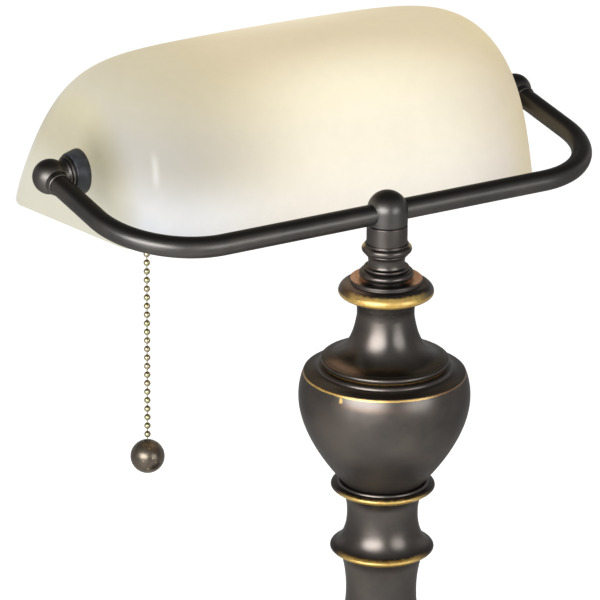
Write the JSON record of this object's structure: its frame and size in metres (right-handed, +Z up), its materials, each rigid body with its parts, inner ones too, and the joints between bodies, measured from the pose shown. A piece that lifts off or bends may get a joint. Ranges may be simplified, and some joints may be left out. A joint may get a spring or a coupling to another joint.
{
  "type": "bankers lamp",
  "caption": "Desk lamp with a turned bronze column, a bent-tube yoke, a tilting frosted glass shade and a bead pull chain that works its switch.",
  "frame": {"origin": "on the table, under the column's axis, at the middle of the felt", "axes": "+Z up the column, the yoke's bar along X, its arms and the shade reach towards +Y"},
  "size_m": [0.2894, 0.2668, 0.3439],
  "materials": {
    "bronze": "satin dark bronze, rubbed to gold on raised edges",
    "bronze_ball": "satin brown bronze with gold specks",
    "felt": "short felt",
    "iron": "rough casting",
    "zinc_steel": "zinc plated",
    "bush_plastic": "moulded",
    "rubber": "matt black",
    "shade_glass": "frosted cream",
    "holder_bronze": "satin dark bronze",
    "fibre": "pressed fibre",
    "phenolic": "moulded phenolic",
    "contact_brass": "bright",
    "bulb_metal": "rolled thread",
    "bulb_glass": "inside frosted",
    "chain_brass": "antique"
  },
  "bodies": {
    "stand": {"base_shell": "bronze", "lower_column": "bronze", "middle_spool": "bronze", "vase_ring": "bronze", "vase": "bronze", "vase_shoulder": "bronze", "bell_neck": "bronze", "disc_collar": "bronze", "neck_spool": "bronze", "hub_collar": "bronze", "hub_tee": "bronze", "yoke_arm_left": "bronze", "yoke_arm_right": "bronze", "elbow_left": "bronze", "elbow_right": "bronze", "pivot_cups": "bronze", "base_pad": "felt", "base_weight": "iron", "rod_nut": "zinc_steel", "rod_washer": "zinc_steel", "stem_rod": "zinc_steel", "pivot_nipple": "zinc_steel", "pivot_stud": "zinc_steel", "clamp_washers": "zinc_steel", "pivot_nuts": "zinc_steel", "switch_pin": "zinc_steel", "cord_bush": "bush_plastic", "outer_grommets": "rubber", "inner_washers": "rubber", "socket_cap": "holder_bronze", "socket_shell": "holder_bronze", "chain_guide": "holder_bronze", "socket_liner": "fibre", "socket_body": "phenolic", "screw_shell": "contact_brass", "centre_contact": "contact_brass", "bulb_cap": "bulb_metal", "bulb_tip": "bulb_metal", "bulb_glass": "bulb_glass"},
    "shade": {"glass_shade": "shade_glass"},
    "switch": {"switch_lever": "contact_brass"},
    "pull": {"upper_beads": "chain_brass", "upper_links": "chain_brass", "chain_coupling": "chain_brass"},
    "chain": {"lower_beads": "chain_brass", "lower_links": "chain_brass", "pull_ball": "bronze_ball"}
  },
  "joints": [
    {"name": "shade_tilt", "type": "hinge", "parent": "stand", "child": "shade", "pos_m": [0, 0.09, 0.295], "axis": [1, 0, 0], "range_deg": [-40, 40]},
    {"name": "chain_pull", "type": "slide", "parent": "stand", "child": "pull", "axis": [0, 0, -1], "range_m": [0, 0.006], "stiffness_N_per_m": 600, "springref_m": -0.003},
    {"name": "switch_turn", "type": "hinge", "parent": "stand", "child": "switch", "pos_m": [-0.0735, 0.09, 0.289], "axis": [0, -1, 0], "range_deg": [0, 39]},
    {"name": "chain_swing", "type": "hinge", "parent": "pull", "child": "chain", "pos_m": [-0.0825, 0.09, 0.25913], "axis": [1, 0, 0], "range_deg": [-25, 25]}
  ],
  "couplings": [
    {"joint": "switch_turn", "follows": "chain_pull", "rad_per_m": 111.1}
  ]
}
